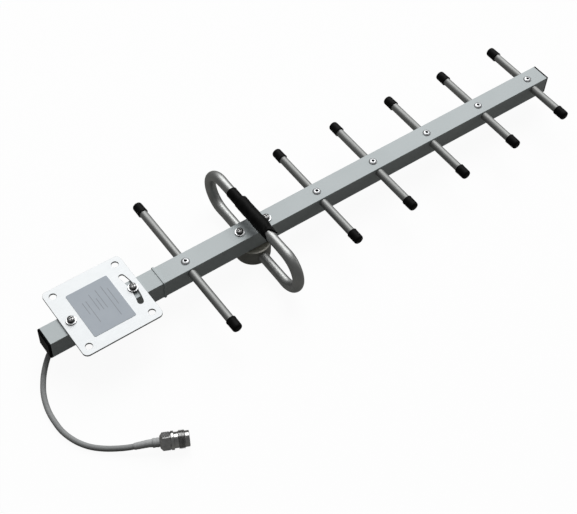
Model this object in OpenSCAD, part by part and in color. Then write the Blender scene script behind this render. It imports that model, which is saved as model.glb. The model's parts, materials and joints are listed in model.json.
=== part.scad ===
// Seven element antenna on a square boom: reflector, folded dipole and five directors,
// with a tilting mast plate and a short coaxial tail that ends in a threaded jack.
// +X points to the front of the boom, +Z up. Millimetres.

/* [Boom] */
// Length of the square tube between its end plugs
boom_l = 573; // [540:1:640]
// Outside width of the square tube
boom_w = 20; // [18:0.5:26]
// Wall of the square tube
boom_wall = 1.2; // [1:0.1:1.6]
// Outside corner radius of the square tube
boom_corner = 0.4; // [0.3:0.1:1]
// Distance of the thin band from the rear end of the tube
band_x = 112; // [108:1:126]
// Width of the thin band along the boom
band_l = 1.8; // [1:0.1:4]
// Height of the band above the tube
band_t = 1; // [0.5:0.1:1.5]

/* [End plugs] */
// Thickness of an end plug's head
plug_head = 2.5; // [2:0.5:5]
// Depth of an end plug inside the tube
plug_l = 8; // [5:0.5:8.5]
// Wall of an end plug inside the tube
plug_wall = 1.4; // [1:0.1:2]
// Rounding of an end plug's outer edges
plug_round = 1.4; // [0.5:0.1:1.8]

/* [Elements] */
// Outside diameter of the straight elements
rod_d = 8; // [6:0.5:8]
// Wall of the straight elements
rod_wall = 1; // [0.8:0.1:1.5]
// Distance of the reflector from the rear end of the tube
reflector_x = 141; // [136:1:151]
// Tip to tip length of the reflector
reflector_l = 167.5; // [155:0.5:190]
// Distance from the reflector to the folded dipole
dipole_gap = 73.3; // [60:0.1:80]
// Distance from the reflector to the first director
first_director_gap = 146; // [120:1:150]
// Distance from one director to the next
director_gap = 67; // [55:1:67]
// Tip to tip length of the first director
first_director_l = 132.5; // [110:0.5:150]
// Amount by which each director is shorter than the one behind it
director_step = 4.5; // [0:0.1:6]
// Diameter of a rivet's dome
rivet_d = 8.2; // [6:0.1:9]
// Height of a rivet's dome
rivet_h = 1.7; // [1:0.1:2.5]
// Diameter of a rivet's shank
rivet_shank_d = 4; // [3:0.1:4.2]

/* [Tip caps] */
// Outside diameter of a tip cap
cap_d = 10; // [9.5:0.1:12]
// Length of a tip cap
cap_l = 12; // [8:0.5:18]
// Thickness of a tip cap's closed end
cap_end = 1.6; // [1:0.1:2.5]
// Rounding of a tip cap's closed end
cap_round = 2; // [1:0.1:3]

/* [Folded dipole] */
// Outside diameter of the loop's tube
loop_d = 10; // [8:0.5:10]
// Wall of the loop's tube
loop_wall = 1; // [0.8:0.1:1.4]
// Distance between the two runs of the loop
loop_h = 41; // [38:0.5:50]
// Overall length of the loop
loop_l = 152; // [130:1:180]
// Height of the lower run above the foot of the housing
loop_z = 9; // [8:0.5:9.5]
// Gap at the feed point in the upper run
feed_gap = 8; // [4:0.5:12]
// Reach of the feed insulator into each side of the tube
insulator_l = 14; // [8:0.5:18]

/* [Sleeves] */
// Far end of the thin sleeve, from the middle of the boom
thin_sleeve_end = 35.5; // [30:0.5:42]
// Diameter of the thin sleeve
thin_sleeve_d = 11; // [10.6:0.1:12]
// Far end of the thick sleeve
thick_sleeve_end = 21; // [15:0.5:26]
// Near end of the thick sleeve
thick_sleeve_start = -26; // [-30:0.5:-20]
// Diameter of the thick sleeve at its far end
thick_sleeve_d = 13.2; // [12.5:0.1:16]
// Diameter of the thick sleeve where it bulges over the joint
thick_sleeve_bulge = 14.6; // [13:0.1:18]

/* [Dipole housing] */
// Diameter of the housing
housing_d = 34.4; // [34:0.1:40]
// Height of the housing
housing_h = 17; // [16:0.5:20]
// Thickness of the rim round the housing's top
housing_rim = 1.6; // [1:0.1:2.5]
// Depth of the recess inside the rim
housing_recess = 3; // [1:0.1:3]
// Distance between the two housing screws
screw_gap = 29.2; // [28:0.1:29.4]
// Depth of the screw holes in the housing
screw_depth = 9; // [6:0.5:12]

/* [Mast plate] */
// Length of the plate along the boom
plate_l = 78; // [74:0.5:84]
// Width of the plate across the boom
plate_w = 78; // [74:0.5:90]
// Thickness of the plate
plate_t = 2; // [1.5:0.1:3]
// Corner radius of the plate
plate_corner = 5; // [2:0.5:6]
// Distance from the rear end of the tube to the plate's middle
plate_x = 56; // [55.5:0.5:61]
// Spacing of the four mast holes, both ways
hole_gap = 62; // [56:0.5:64]
// Diameter of the mast holes
hole_d = 6.6; // [5:0.1:8]
// Distance of the pivot behind the plate's middle
pivot_back = 30.5; // [30:0.1:30.5]
// Radius of the curved slot round the pivot
slot_r = 61.5; // [60:0.1:62]
// Swing of the plate to each side, in degrees
swing = 15; // [8:1:16]
// Width of the curved slot
slot_w = 5.4; // [5.2:0.1:6]
// Length of the blank label along the boom
label_l = 41; // [30:0.5:42]
// Width of the blank label across the boom
label_w = 51; // [40:0.5:52]

/* [Fasteners] */
// Diameter of the plate bolts
bolt_d = 4; // [3.5:0.5:5]
// Diameter of the housing screws
screw_d = 4; // [3:0.5:4]
// Diameter of the flat washers
washer_d = 9.6; // [9:0.1:11]
// Thickness of the flat washers
washer_t = 1; // [0.6:0.1:1.2]
// Diameter of the pan heads
head_d = 6.6; // [6:0.1:8]
// Height of the pan heads
head_h = 2.8; // [2:0.1:3.5]
// Width across the flats of the nuts
nut_w = 7; // [7:0.5:9]
// Thickness of the nuts
nut_t = 3.2; // [3:0.1:5]

/* [Cable] */
// Diameter of the coaxial cable
cable_d = 5; // [4.5:0.1:6]
// Diameter of the rubber boot at the wall of the boom
boot_d = 9.2; // [8.5:0.1:9.2]
// Diameter of the rubber boot at its tip
boot_tip_d = 7; // [6.5:0.1:8.4]
// Length of the boot outside the boom
boot_l = 11; // [9:0.5:12]

/* [Jack] */
// Diameter over the jack's thread
thread_d = 15.88; // [15:0.01:16]
// Length of the threaded part
thread_l = 6; // [5:0.5:8]
// Diameter of the jack's nose and of the groove behind the thread
nose_d = 13.6; // [13:0.1:14.6]
// Diameter of the jack's collar
collar_d = 16; // [15:0.1:16]
// Length of the hexagonal nut
hex_l = 8.7; // [8:0.1:12]
// Bore of the jack's socket
socket_d = 8.4; // [7:0.1:9]
// Diameter of the crimp sleeve
crimp_d = 8; // [7.5:0.1:9]
// Length of the crimp sleeve
crimp_l = 6.5; // [5:0.5:9]

/* [Hidden] */
$fn = 64;
eps = 0.01;

// Heights
boom_z = housing_h + boom_w / 2;
boom_top = housing_h + boom_w;
rod_z = boom_top - boom_wall - rod_d / 2;
loop_top = loop_z + loop_h;

// Positions along the boom, from the middle of its length
tube_rear = -boom_l / 2;
rear_x = tube_rear + reflector_x;
dipole_x = rear_x + dipole_gap;
director_x = [for (i = [0:4]) rear_x + first_director_gap + i * director_gap];
director_l = [for (i = [0:4]) first_director_l - i * director_step];
plate_mid = tube_rear + plate_x;
pivot_x = plate_mid - pivot_back;
clamp_x = pivot_x + slot_r;
screw_x = [dipole_x - screw_gap / 2, dipole_x + screw_gap / 2];
element_x = concat([rear_x], director_x);
element_l = concat([reflector_l], director_l);

// Fits
bore_in = boom_w - 2 * boom_wall;
plug_play = 0.1;
sheet_play = 0.1;
pivot_play = 0.08;
coax_play = 0.4;

// Stack of plate and washers on the boom
plate_z = boom_top + sheet_play;
plate_top = plate_z + plate_t;
label_t = 0.3;
label_corner = 1.5;
label_shift = [-1.8, -0.6];
lock_t = 1.1;
lock_d = 6.8;
lock_slit = 1;
slit_slope = 20;
slit_turn = 35;
stack_z = plate_top + sheet_play;
nut_z = housing_h - washer_t - nut_t;
nut_chamfer = 0.8;
bolt_tail = 2;

// Cross recess of the screws
cross_l = 3.8;
cross_w = 0.9;
cross_h = 1.5;
cross_turn = 20;

// Blind rivet
mandrel_d = 2.4;
mandrel_h = 1.3;
bulb_d = 5.2;
bulb_h = 2;

// Loop
bend_r = loop_h / 2;
straight = loop_l / 2 - bend_r - loop_d / 2;
sleeve_lap = 8;
sleeve_taper = 5;
sleeve_lip = 0.6;
sleeve_edge = 0.8;
bulge_y = -8;
boss_d = 8;

// Coaxial cable inside the boom, beside the bolts and under the elements
coax_y = 5.6;
coax_z = 24;
drop_slope = 38;
drop_from = [dipole_x - 11.3, coax_y, 18.9];
drop_dir = [cos(drop_slope), 0, -sin(drop_slope)];
drop_l = 14.5;
drop_lead = 6;

// Boot through the floor of the boom, sloping to the rear and to the near side
boot_slope = 38;
boot_turn = 20;
boot_root = [tube_rear + 10.4, 3.1, housing_h + 1.3];
boot_dir = [-cos(boot_slope) * cos(boot_turn), -cos(boot_slope) * sin(boot_turn), -sin(boot_slope)];
boot_inside = 5;
boot_end = boot_root + boot_l * boot_dir;

// Jack lying on the ground
jack_turn = -26;
jack_dir = [cos(jack_turn), sin(jack_turn), 0];
jack_front = [-231, -137.3, collar_d / 2];
nose_l = 3.5;
groove_l = 3.5;
jack_floor = 1;
collar_l = 3;
jack_l = nose_l + thread_l + groove_l + collar_l;
socket_l = 9;
contact_d = 3;
contact_bore = 1.7;
contact_back = 1.5;
contact_slit = 0.3;
hex_d = collar_d;
hex_chamfer = 2.4;
hex_turn = 7.5;
crimp_end = jack_front - (jack_l + hex_l + crimp_l) * jack_dir;

// Straight ends of the cable at the boot and at the jack
boot_lead = 5;
jack_lead = 4;

// Route of the cable inside the boom
coax_route = concat(
    [boot_end, boot_root],
    [
        [-271.5, 4.5, 21.4],
        [-266, 5.3, 23.3],
        [-260, coax_y, coax_z],
        [-180, coax_y, coax_z],
        [-98.5, coax_y, coax_z],
        [-93, coax_y, 23.4],
        [-88, coax_y, 21.7]
    ],
    [drop_from, drop_from + drop_l * drop_dir]
);

// Route of the cable outside the boom, lying on the ground
cable_route = concat(
    [boot_end, boot_end + boot_lead * boot_dir],
    [
        [-293.3, -5.4, 4.8],
        [-299.3, -12.4, 3],
        [-304.3, -20.4, 2.5],
        [-308.3, -28.4, 2.5],
        [-311.3, -37.4, 2.5],
        [-313.3, -47.4, 2.5],
        [-313.8, -57.4, 2.5],
        [-313.3, -67.9, 2.5],
        [-310.8, -77.9, 2.5],
        [-306.8, -86.9, 2.5],
        [-300.8, -95.4, 2.5],
        [-292.8, -102.9, 2.7],
        [-284.3, -109.4, 3.8],
        [-275.3, -115.4, 5.6]
    ],
    [crimp_end - jack_lead * jack_dir, crimp_end]
);

function unit(v) = v / norm(v);
function heading(path, i) = unit(path[min(i + 1, len(path) - 1)] - path[max(i - 1, 0)]);
function ring(path, i, r, sides) =
    let (along = heading(path, i), side = unit(cross([0, 0, 1], along)), up = cross(along, side))
    [for (k = [0:sides - 1]) path[i] + r * (cos(360 * k / sides) * side + sin(360 * k / sides) * up)];
function fan(first, sides, flip) =
    [for (k = [1:sides - 2]) flip ? [first, first + k + 1, first + k] : [first, first + k, first + k + 1]];

// Flat square with round corners
module rounded_square(w, h, r) {
    square([w - 2 * r, h], center = true);
    square([w, h - 2 * r], center = true);
    for (x = [-1, 1], y = [-1, 1])
        translate([x * (w / 2 - r), y * (h / 2 - r)]) circle(r);
}

// Solid that runs along +X from the origin, from an outline drawn in Y and Z
module along_x(l) {
    rotate([90, 0, 90]) linear_extrude(l) children();
}

// Cylinder along Y, centred
module across(d, l) {
    rotate([90, 0, 0]) cylinder(d = d, h = l, center = true);
}

// Cylinder from a point along a direction
module pointed(from, dir, d1, d2, l) {
    translate(from) rotate([0, acos(dir.z), atan2(dir.y, dir.x)]) cylinder(d1 = d1, d2 = d2, h = l);
}

// Tube swept along a route
module tube_along(path, d, sides) {
    n = len(path);
    last = (n - 1) * sides;
    points = [for (i = [0:n - 1]) each ring(path, i, d / 2, sides)];
    walls = [
        for (i = [0:n - 2], k = [0:sides - 1])
            let (a = i * sides + k, b = i * sides + (k + 1) % sides)
            each [[a, a + sides, b], [b, a + sides, b + sides]]
    ];
    polyhedron(points, concat(walls, fan(0, sides, false), fan(last, sides, true)));
}

// Outline of a dome on a round foot, to be turned
module dome_outline(d, h) {
    ball = (d * d / 4 + h * h) / (2 * h);
    intersection() {
        translate([0, h - ball]) circle(ball);
        square([d, 2 * h]);
    }
}

// Pan head with a cross recess
module pan_head() {
    difference() {
        rotate_extrude() {
            square([head_d / 2, head_h / 3]);
            translate([0, head_h / 3]) dome_outline(head_d, head_h * 2 / 3);
        }
        for (turn = [0, 90])
            translate([0, 0, head_h - cross_h / 2]) rotate(turn + cross_turn)
                cube([cross_l, cross_w, cross_h + eps], center = true);
    }
}

// Spring washer with its slit
module lock_washer(d_in) {
    difference() {
        cylinder(d = lock_d, h = lock_t);
        translate([0, 0, -eps]) cylinder(d = d_in, h = lock_t + 2 * eps);
        translate([0, 0, lock_t / 2]) rotate([slit_slope, 0, 0])
            translate([0, -lock_slit / 2, -lock_t]) cube([lock_d, lock_slit, 2 * lock_t]);
    }
}

// Flat washer
module flat_washer(d_in) {
    difference() {
        cylinder(d = washer_d, h = washer_t);
        translate([0, 0, -eps]) cylinder(d = d_in, h = washer_t + 2 * eps);
    }
}

// Hexagonal nut with chamfered corners
module hex_nut(d_in) {
    corner_d = nut_w / cos(30);
    difference() {
        intersection() {
            cylinder(d = corner_d, h = nut_t, $fn = 6);
            cylinder(d1 = corner_d - nut_chamfer, d2 = corner_d + nut_t, h = nut_t);
        }
        translate([0, 0, -eps]) cylinder(d = d_in, h = nut_t + 2 * eps);
    }
}

// Bolt through plate and boom, with its head on the washers
module plate_bolt(x) {
    color("silver") translate([x, 0, stack_z + washer_t + lock_t]) {
        pan_head();
        shank_l = stack_z + washer_t + lock_t - nut_z + bolt_tail;
        translate([0, 0, -shank_l]) cylinder(d = bolt_d, h = shank_l);
    }
}

// Flat washers on the plate and under the boom
module plate_washers(x) {
    color("silver") for (z = [stack_z, housing_h - washer_t]) translate([x, 0, z]) flat_washer(bolt_d);
}

// Spring washer under a plate bolt's head
module plate_lock_washer(x) {
    color("gray") translate([x, 0, stack_z + washer_t]) rotate(slit_turn) lock_washer(bolt_d);
}

module plate_nut(x) {
    color("silver") translate([x, 0, nut_z]) hex_nut(bolt_d);
}

// Sloping way for the coaxial cable down into the lower run of the loop
module coax_drop() {
    way_w = cable_d + 2 * coax_play;
    translate(drop_from) rotate([0, drop_slope, 0]) translate([-drop_lead, -way_w / 2, -way_w / 2])
        cube([drop_lead + drop_l, way_w, way_w]);
}

// Straight part of the boot, which at full length also opens the floor of the boom
module boot_straight(play, l) {
    root_d = boot_d + play;
    pointed(boot_root - boot_inside * boot_dir, boot_dir, root_d, root_d, boot_inside + l);
}

module boom_tube() {
    color("lightgray") difference() {
        translate([tube_rear, 0, boom_z]) along_x(boom_l) rounded_square(boom_w, boom_w, boom_corner);
        translate([tube_rear - 1, 0, boom_z]) along_x(boom_l + 2) square(bore_in, center = true);
        for (x = element_x) {
            translate([x, 0, rod_z]) across(rod_d, 2 * boom_w);
            translate([x, 0, boom_z]) cylinder(d = rivet_shank_d, h = boom_w);
        }
        for (x = screw_x) translate([x, 0, 0]) cylinder(d = screw_d, h = 2 * boom_top);
        for (x = [pivot_x, clamp_x]) translate([x, 0, 0]) cylinder(d = bolt_d, h = 2 * boom_top);
        coax_drop();
        boot_straight(0, boot_l);
    }
}

module boom_band() {
    color("lightgray") translate([tube_rear + band_x, 0, boom_z]) along_x(band_l) difference() {
        rounded_square(boom_w + 2 * band_t, boom_w + 2 * band_t, boom_corner + band_t);
        rounded_square(boom_w, boom_w, boom_corner);
    }
}

// Outline of an end plug's head seen from the side, with its outer edges rounded
module plug_side() {
    square_w = boom_w / 2 - plug_round;
    translate([0, -square_w]) square([plug_head, 2 * square_w]);
    translate([0, -boom_w / 2]) square([plug_head - plug_round, boom_w]);
    for (y = [-1, 1]) translate([plug_head - plug_round, y * square_w]) circle(plug_round);
}

// End plug with its head towards +X and a hollow stem in the tube
module end_plug() {
    stem = bore_in - 2 * plug_play;
    intersection() {
        along_x(plug_head) rounded_square(boom_w, boom_w, boom_corner);
        linear_extrude(2 * boom_w, center = true) plug_side();
        rotate([90, 0, 0]) linear_extrude(2 * boom_w, center = true) plug_side();
    }
    translate([-plug_l, 0, 0]) along_x(plug_l) difference() {
        square(stem, center = true);
        square(stem - 2 * plug_wall, center = true);
    }
}

module rear_end_plug() {
    color("black") difference() {
        translate([tube_rear, 0, boom_z]) rotate(180) end_plug();
        boot_straight(2 * plug_play, boot_l);
    }
}

module front_end_plug() {
    color("black") translate([-tube_rear, 0, boom_z]) end_plug();
}

// Straight element through the boom, with the hole for its rivet
module element_rod(x, tip_l) {
    color("silver") difference() {
        translate([x, 0, rod_z]) across(rod_d, tip_l - 2 * cap_end);
        translate([x, 0, rod_z]) across(rod_d - 2 * rod_wall, tip_l);
        translate([x, 0, rod_z]) cylinder(d = rivet_shank_d, h = rod_d);
    }
}

module reflector_rod() {
    element_rod(rear_x, reflector_l);
}

module director_rod(i) {
    element_rod(director_x[i], director_l[i]);
}

// Soft cap over one end of an element; side is 1 for the far end and -1 for the near end
module tip_cap(x, tip_l, side) {
    color("black") translate([x, side * (tip_l / 2 - cap_l), rod_z]) rotate([-90 * side, 0, 0])
        rotate_extrude() difference() {
            union() {
                square([cap_d / 2 - cap_round, cap_l]);
                square([cap_d / 2, cap_l - cap_round]);
                translate([cap_d / 2 - cap_round, cap_l - cap_round]) circle(cap_round);
            }
            translate([-cap_d, 0]) square([cap_d, cap_l + 1]);
            translate([0, -1]) square([rod_d / 2, cap_l - cap_end + 1]);
        }
}

module element_rivets() {
    shank_l = boom_top - rod_z;
    color("gainsboro") for (x = element_x) difference() {
        translate([x, 0, rod_z]) {
            translate([0, 0, shank_l]) rotate_extrude() dome_outline(rivet_d, rivet_h);
            cylinder(d = rivet_shank_d, h = shank_l + eps);
            cylinder(d = bulb_d, h = bulb_h, center = true);
        }
        translate([x, 0, boom_top + rivet_h - mandrel_h]) cylinder(d = mandrel_d, h = rivet_h);
    }
}

// Closed loop of round bar, in the plane across the boom
module loop_bar(d) {
    translate([dipole_x, 0, 0]) {
        for (z = [loop_z, loop_top]) translate([0, 0, z]) across(d, 2 * straight);
        for (side = [0, 180]) rotate(side) translate([0, straight, loop_z + bend_r]) rotate([0, 90, 0])
            rotate_extrude(angle = 180) translate([bend_r, 0]) circle(d = d);
    }
}

module dipole_loop() {
    color("silver") difference() {
        loop_bar(loop_d);
        loop_bar(loop_d - 2 * loop_wall);
        translate([dipole_x, 0, loop_top]) cube([2 * loop_d, feed_gap, 2 * loop_d], center = true);
        coax_drop();
    }
}

module feed_insulator() {
    color("ivory") translate([dipole_x, 0, loop_top]) {
        across(loop_d, feed_gap);
        across(loop_d - 2 * loop_wall, feed_gap + 2 * insulator_l);
    }
}

// Turned shape on the upper run, from an outline of radius against distance along +Y
module on_upper_run() {
    translate([dipole_x, 0, loop_top]) rotate([-90, 0, 0]) rotate_extrude() children();
}

module thin_sleeve() {
    thin = (thin_sleeve_d - loop_d) / 2;
    color("black") on_upper_run()
        translate([loop_d / 2, sleeve_lap]) square([thin, thin_sleeve_end - sleeve_lap]);
}

module thick_sleeve() {
    color("black") on_upper_run() polygon([
        [loop_d / 2, thick_sleeve_start],
        [loop_d / 2 + sleeve_lip, thick_sleeve_start],
        [thick_sleeve_d / 2, thick_sleeve_start + sleeve_taper],
        [thick_sleeve_bulge / 2, bulge_y],
        [thick_sleeve_d / 2, -bulge_y],
        [thick_sleeve_d / 2, thick_sleeve_end - sleeve_edge],
        [thick_sleeve_d / 2 - sleeve_edge / 2, thick_sleeve_end],
        [thin_sleeve_d / 2, thick_sleeve_end],
        [thin_sleeve_d / 2, sleeve_lap],
        [loop_d / 2, sleeve_lap]
    ]);
}

module dipole_housing() {
    color("dimgray") difference() {
        union() {
            difference() {
                translate([dipole_x, 0, 0]) cylinder(d = housing_d, h = housing_h);
                translate([dipole_x, 0, housing_h - housing_recess])
                    cylinder(d = housing_d - 2 * housing_rim, h = housing_h);
            }
            intersection() {
                translate([dipole_x, 0, 0]) cylinder(d = housing_d, h = housing_h);
                for (x = screw_x) translate([x, 0, 0]) cylinder(d = boss_d, h = housing_h);
            }
        }
        translate([dipole_x, 0, loop_z]) across(loop_d, 2 * housing_d);
        for (x = screw_x) translate([x, 0, housing_h - screw_depth]) cylinder(d = screw_d, h = housing_h);
        coax_drop();
    }
}

module housing_screws() {
    head_z = boom_top + washer_t + lock_t;
    shank_l = head_z - housing_h + screw_depth;
    color("silver") for (x = screw_x) translate([x, 0, head_z]) {
        pan_head();
        translate([0, 0, -shank_l]) cylinder(d = screw_d, h = shank_l);
    }
}

module housing_lock_washers() {
    color("gray") for (x = screw_x)
        translate([x, 0, boom_top + washer_t]) rotate(slit_turn) lock_washer(screw_d);
}

module housing_washers() {
    color("silver") for (x = screw_x) translate([x, 0, boom_top]) flat_washer(screw_d);
}

// Curved slot round the pivot, long enough for the swing to both sides
module swing_slot() {
    reach = slot_r + slot_w;
    side = reach * [cos(swing), sin(swing)];
    intersection() {
        difference() {
            circle(slot_r + slot_w / 2, $fn = 180);
            circle(slot_r - slot_w / 2, $fn = 180);
        }
        polygon([[0, 0], [side.x, -side.y], [2 * reach, 0], side]);
    }
    for (turn = [-swing, swing]) rotate(turn) translate([slot_r, 0]) circle(d = slot_w - 2 * eps);
}

module mast_plate() {
    color("whitesmoke") translate([plate_mid, 0, plate_z]) linear_extrude(plate_t) difference() {
        rounded_square(plate_l, plate_w, plate_corner);
        for (x = [-1, 1], y = [-1, 1])
            translate([x * hole_gap / 2, y * hole_gap / 2]) circle(d = hole_d);
        translate([-pivot_back, 0]) {
            circle(d = bolt_d + 2 * pivot_play);
            swing_slot();
        }
    }
}

module blank_label() {
    color("darkgray") translate([plate_mid, 0, plate_top]) translate(label_shift)
        linear_extrude(label_t) rounded_square(label_l, label_w, label_corner);
}

module feed_coax() {
    color("gray") tube_along(coax_route, cable_d, 10);
}

module cable_boot() {
    color("black") difference() {
        union() {
            boot_straight(0, boot_l / 2);
            pointed(boot_root + boot_l / 2 * boot_dir, boot_dir, boot_d, boot_tip_d, boot_l / 2);
        }
        pointed(boot_root - 2 * boot_inside * boot_dir, boot_dir, cable_d, cable_d, 3 * boot_inside + boot_l);
    }
}

module cable() {
    color("darkgray") tube_along(cable_route, cable_d, 10);
}

// Places a turned piece on the jack's axis, with +Z out of its mouth and the origin at its front
module on_jack() {
    translate(jack_front) rotate([0, 90, jack_turn]) children();
}

module crimp_sleeve() {
    color("darkgray") on_jack()
        translate([0, 0, -jack_l - hex_l - crimp_l]) cylinder(d = crimp_d, h = crimp_l);
}

module jack_nut() {
    color("silver") on_jack() translate([0, 0, -jack_l - hex_l]) intersection() {
        rotate(hex_turn) cylinder(d = hex_d, h = hex_l, $fn = 6);
        cylinder(d1 = hex_d - 2 * hex_chamfer, d2 = hex_d + 2 * (hex_l - hex_chamfer), h = hex_l);
    }
}

module jack_body() {
    color("silver") on_jack() difference() {
        union() {
            translate([0, 0, -jack_l]) cylinder(d = collar_d, h = collar_l);
            translate([0, 0, -jack_l + collar_l - eps]) cylinder(d = nose_d, h = jack_l - collar_l + eps);
            translate([0, 0, -nose_l - thread_l]) cylinder(d = thread_d, h = thread_l);
        }
        translate([0, 0, -jack_l + jack_floor]) cylinder(d = socket_d, h = jack_l);
    }
}

module jack_insulator() {
    color("white") on_jack() difference() {
        translate([0, 0, -jack_l + jack_floor]) cylinder(d = socket_d, h = jack_l - jack_floor - socket_l);
        translate([0, 0, -jack_l]) cylinder(d = contact_d, h = jack_l);
    }
}

module jack_contact() {
    color("gold") on_jack() difference() {
        translate([0, 0, -jack_l + jack_floor])
            cylinder(d = contact_d, h = jack_l - jack_floor - contact_back);
        translate([0, 0, -socket_l]) cylinder(d = contact_bore, h = socket_l);
        for (turn = [0, 90]) rotate(turn) translate([0, 0, -contact_back])
            cube([2 * contact_d, contact_slit, 2 * contact_back], center = true);
    }
}

boom_tube();
boom_band();
rear_end_plug();
front_end_plug();
reflector_rod();
for (i = [0:4]) director_rod(i);
tip_cap(rear_x, reflector_l, 1);  // reflector_far_cap
tip_cap(rear_x, reflector_l, -1);  // reflector_near_cap
for (i = [0:4]) tip_cap(director_x[i], director_l[i], 1);
for (i = [0:4]) tip_cap(director_x[i], director_l[i], -1);
element_rivets();
dipole_loop();
feed_insulator();
thin_sleeve();
thick_sleeve();
dipole_housing();
housing_screws();
housing_lock_washers();
housing_washers();
mast_plate();
blank_label();
plate_bolt(pivot_x);  // pivot_bolt
plate_lock_washer(pivot_x);  // pivot_lock_washer
plate_washers(pivot_x);  // pivot_washers
plate_nut(pivot_x);  // pivot_nut
plate_bolt(clamp_x);  // clamp_bolt
plate_lock_washer(clamp_x);  // clamp_lock_washer
plate_washers(clamp_x);  // clamp_washers
plate_nut(clamp_x);  // clamp_nut
feed_coax();
cable_boot();
cable();
crimp_sleeve();
jack_nut();
jack_body();
jack_insulator();
jack_contact();
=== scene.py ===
import json

import bmesh
import bpy
import numpy as np
from mathutils import Matrix, Vector
from mathutils.geometry import delaunay_2d_cdt


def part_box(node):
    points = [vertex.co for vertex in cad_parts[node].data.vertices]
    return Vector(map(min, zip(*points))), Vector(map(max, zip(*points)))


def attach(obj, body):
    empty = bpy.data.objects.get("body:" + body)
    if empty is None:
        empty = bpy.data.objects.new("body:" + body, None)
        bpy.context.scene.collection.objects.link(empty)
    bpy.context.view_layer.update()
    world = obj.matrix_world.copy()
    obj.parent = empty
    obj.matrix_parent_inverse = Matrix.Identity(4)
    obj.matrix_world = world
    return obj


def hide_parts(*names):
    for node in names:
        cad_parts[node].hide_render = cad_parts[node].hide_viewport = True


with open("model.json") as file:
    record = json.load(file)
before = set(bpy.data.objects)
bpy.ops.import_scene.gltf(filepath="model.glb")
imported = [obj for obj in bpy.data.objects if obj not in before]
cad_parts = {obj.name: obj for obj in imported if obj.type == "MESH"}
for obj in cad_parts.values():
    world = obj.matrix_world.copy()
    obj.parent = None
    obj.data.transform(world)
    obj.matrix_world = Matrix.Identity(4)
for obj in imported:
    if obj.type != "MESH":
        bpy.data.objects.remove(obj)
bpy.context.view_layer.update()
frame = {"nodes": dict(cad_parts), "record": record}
nodes = frame["nodes"]
scene = bpy.context.scene
scene.view_settings.view_transform = "Standard"
mm = 0.001  # pieces are worked out in millimetres
tau = 2 * np.pi
weld = 2e-7  # points closer than this, in metres, are one
sharpFrom = 38  # edges of a wider angle, in degrees, stay sharp
print("frame loaded:", len(nodes), "nodes")


# camera

shot = dict(
    place=(-0.4731, -0.5617, 0.8912),
    right=(0.81062, -0.58459, 0.03400),
    up=(0.44760, 0.65600, 0.60771),
    back=(-0.37756, -0.47741, 0.79343),
    lens=74.94,
    sensor=36.0,
    clip=(0.05, 20),
)


def placeCamera(shot):  # the camera's matrix has right, up and back as its columns
    data = bpy.data.cameras.new("antennaCamera")
    data.lens = shot["lens"]
    data.sensor_width = shot["sensor"]
    data.clip_start, data.clip_end = shot["clip"]
    camera = bpy.data.objects.new("antennaCamera", data)
    turn = np.column_stack([shot["right"], shot["up"], shot["back"], shot["place"]])
    camera.matrix_world = Matrix(np.vstack([turn, (0, 0, 0, 1)]).tolist())
    scene.collection.objects.link(camera)
    scene.camera = camera


placeCamera(shot)
print("camera placed")


# finishes

usual = dict(metal=0, specular=0.5, stretch=(1, 1, 1), broad=500, fine=3000, broadDetail=4, fineDetail=2,
             toneSpan=(0.35, 0.65), roughSpan=(0.3, 0.7))  # what a finish has where it says nothing else


def setInputs(tree, node, inputs):  # each input takes a value, or a link from another node's output
    for key, value in inputs.items():
        if isinstance(value, bpy.types.NodeSocket):
            tree.links.new(value, node.inputs[key])
        else:
            node.inputs[key].default_value = value
    return node


def addNode(tree, kind, inputs):  # a new node with its inputs
    return setInputs(tree, tree.nodes.new(kind), inputs)


def mixTones(tree, share, first, second):  # from the first colour to the second by the share
    mix = tree.nodes.new("ShaderNodeMix")
    mix.data_type = "RGBA"
    return setInputs(tree, mix, {"Factor": share, "A": first, "B": second}).outputs["Result"]


def reckon(tree, operation, *values):  # one sum, kept between 0 and 1
    node = tree.nodes.new("ShaderNodeMath")
    node.operation = operation
    node.use_clamp = True
    return setInputs(tree, node, dict(enumerate(values))).outputs["Value"]


def onPiece(tree):  # Object coordinates
    return tree.nodes.new("ShaderNodeTexCoord").outputs["Object"]


def grain(tree, scale, detail, stretch):  # noise on the piece
    mapping = addNode(tree, "ShaderNodeMapping", {"Vector": onPiece(tree), "Scale": stretch})
    inputs = {"Vector": mapping.outputs["Vector"], "Scale": scale, "Detail": detail}
    return addNode(tree, "ShaderNodeTexNoise", inputs).outputs["Fac"]


def tint(tree, source, span, *tones):  # from one tone to another as the source crosses the span
    ramp = addNode(tree, "ShaderNodeValToRGB", {"Fac": source})
    for stop, position, tone in zip(ramp.color_ramp.elements, span, tones):
        stop.position = position
        stop.color = (*tone, 1)
    return ramp.outputs["Color"]


def spreadOver(tree, source, fromSpan, toSpan):  # one span of values carried over to another, and kept within it
    sockets = ("Value", "From Min", "From Max", "To Min", "To Max")
    inputs = dict(zip(sockets, (source, *fromSpan, *toSpan)))
    return addNode(tree, "ShaderNodeMapRange", inputs).outputs["Result"]


def overTone(finish, reading, fromSpan, tone):  # the tone covers the base colour as the reading crosses the span
    tree = finish.node_tree
    base = tree.nodes["Principled BSDF"].inputs["Base Color"]
    share = spreadOver(tree, reading, fromSpan, (0, 1))
    tree.links.new(mixTones(tree, share, base.links[0].from_socket, (*tone, 1)), base)


def upPart(tree, vector):  # the vertical part of a vector
    return addNode(tree, "ShaderNodeSeparateXYZ", {"Vector": vector}).outputs["Z"]


def paintHighlightAbove(finish, height, band, tone):  # painted highlight: the tone takes over where the height on the piece passes a mark
    tree = finish.node_tree
    overTone(finish, upPart(tree, onPiece(tree)), ((height - band) * mm, height * mm), tone)


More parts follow.
